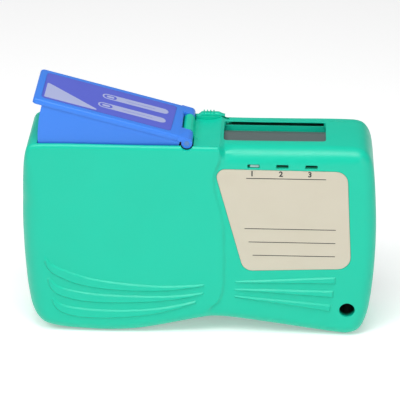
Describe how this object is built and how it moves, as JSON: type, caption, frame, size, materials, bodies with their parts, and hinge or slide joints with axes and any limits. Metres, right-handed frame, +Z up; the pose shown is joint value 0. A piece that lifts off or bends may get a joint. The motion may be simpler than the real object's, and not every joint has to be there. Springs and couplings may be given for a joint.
{
  "type": "fibre optic cleaning cassette",
  "caption": "Hand-held reel cleaner for fibre plug ends: a thumb lever winds fresh tape under a shuttered window that opens as it is pressed",
  "frame": {"origin": "on the plane of the two lower lobes that it stands on, under the middle of the housing", "axes": "X to the right along the length, Y from the labelled front to the rear cover, Z up to the lever"},
  "size_m": [0.131, 0.032, 0.0957],
  "materials": {
    "teal_shell": "moulded ABS, satin",
    "label_film": "printed film, satin",
    "lever_film": "printed film, satin",
    "black_plastic": "moulded nylon",
    "steel": "ground steel",
    "blue_plastic": "moulded ABS, satin",
    "gear_plastic": "moulded acetal",
    "spring_steel": "drawn spring wire",
    "reel_plastic": "moulded polystyrene",
    "used_tape": "wiped woven tape",
    "tape": "woven microfibre tape",
    "white_plastic": "moulded acetal",
    "grey_plastic": "moulded ABS",
    "amber_plastic": "moulded acetal",
    "pad_rubber": "soft rubber"
  },
  "bodies": {
    "housing": {"front_shell": "teal_shell", "face_label": "label_film", "chassis": "black_plastic", "chassis_screws": "steel", "takeup_spindle": "steel", "supply_spindle": "steel", "pawl_pin": "steel", "pawl_spring": "spring_steel", "cartridge_frame": "white_plastic", "roller_pins": "steel", "cleaning_pad": "pad_rubber", "cleaning_tape": "tape", "guide_plate": "white_plastic", "lever_spring": "spring_steel", "slider_spring": "spring_steel", "supply_brake": "spring_steel", "type_tab": "white_plastic"},
    "cover": {"rear_cover": "teal_shell"},
    "latch": {"cover_latch": "teal_shell"},
    "thumb_lever": {"lever": "blue_plastic", "lever_label": "lever_film", "hinge_pin": "steel", "drive_arm": "gear_plastic"},
    "take_up": {"drive_gear": "gear_plastic", "ratchet_wheel": "gear_plastic", "takeup_reel": "reel_plastic", "used_tape_roll": "used_tape"},
    "supply": {"supply_reel": "reel_plastic", "fresh_tape_roll": "tape"},
    "roller_left": {"left_roller": "grey_plastic"},
    "roller_right": {"right_roller": "grey_plastic"},
    "pawl": {"ratchet_pawl": "steel"},
    "window_shutter": {"shutter": "grey_plastic"},
    "slider": {"shutter_slider": "amber_plastic"}
  },
  "joints": [
    {"name": "lever_press", "type": "hinge", "parent": "housing", "child": "thumb_lever", "pos_m": [-0.0042, 0, 0.0788], "axis": [0, -1, 0], "range_deg": [0, 15], "stiffness_Nm_per_rad": 0.05, "springref_deg": -114.59, "deforming": ["lever_spring"]},
    {"name": "take_up_turn", "type": "hinge", "parent": "housing", "child": "take_up", "pos_m": [-0.028, 0, 0.0287], "axis": [0, -1, 0], "range_deg": [-31.5, 0.3]},
    {"name": "supply_turn", "type": "hinge", "parent": "housing", "child": "supply", "pos_m": [0.033, 0, 0.026], "axis": [0, -1, 0], "range_deg": [-0.3, 22]},
    {"name": "left_roller_turn", "type": "hinge", "parent": "housing", "child": "roller_left", "pos_m": [0.00725, 0, 0.04853], "axis": [0, -1, 0], "range_deg": [-140, 1]},
    {"name": "right_roller_turn", "type": "hinge", "parent": "housing", "child": "roller_right", "pos_m": [0.0423, 0, 0.04853], "axis": [0, -1, 0], "range_deg": [-1, 140]},
    {"name": "pawl_lift", "type": "hinge", "parent": "housing", "child": "pawl", "pos_m": [-0.04005, 0, 0.0459], "axis": [0, -1, 0], "range_deg": [0, 10], "stiffness_Nm_per_rad": 0.0005, "springref_deg": -114.59},
    {"name": "shutter_turn", "type": "hinge", "parent": "housing", "child": "window_shutter", "pos_m": [0.0275, 0.0024, 0.06333], "axis": [1, 0, 0], "range_deg": [-0.5, 86.5]},
    {"name": "slider_drop", "type": "slide", "parent": "housing", "child": "slider", "axis": [0, 0, -1], "range_m": [-0.0001, 0.0056], "deforming": ["slider_spring"]},
    {"name": "cover_lift", "type": "slide", "parent": "housing", "child": "cover", "axis": [0, 1, 0], "range_m": [0, 0.02]},
    {"name": "latch_slide", "type": "slide", "parent": "cover", "child": "latch", "axis": [1, 0, 0], "range_m": [0, 0.0025]}
  ],
  "couplings": [
    {"joint": "take_up_turn", "follows": "lever_press", "ratio": -2.0814},
    {"joint": "supply_turn", "follows": "lever_press", "ratio": 1.431},
    {"joint": "left_roller_turn", "follows": "lever_press", "ratio": -9.1583},
    {"joint": "right_roller_turn", "follows": "lever_press", "ratio": 9.1583},
    {"joint": "shutter_turn", "follows": "lever_press", "ratio": 5.7333},
    {"joint": "slider_drop", "follows": "lever_press", "m_per_rad": 0.02084}
  ]
}
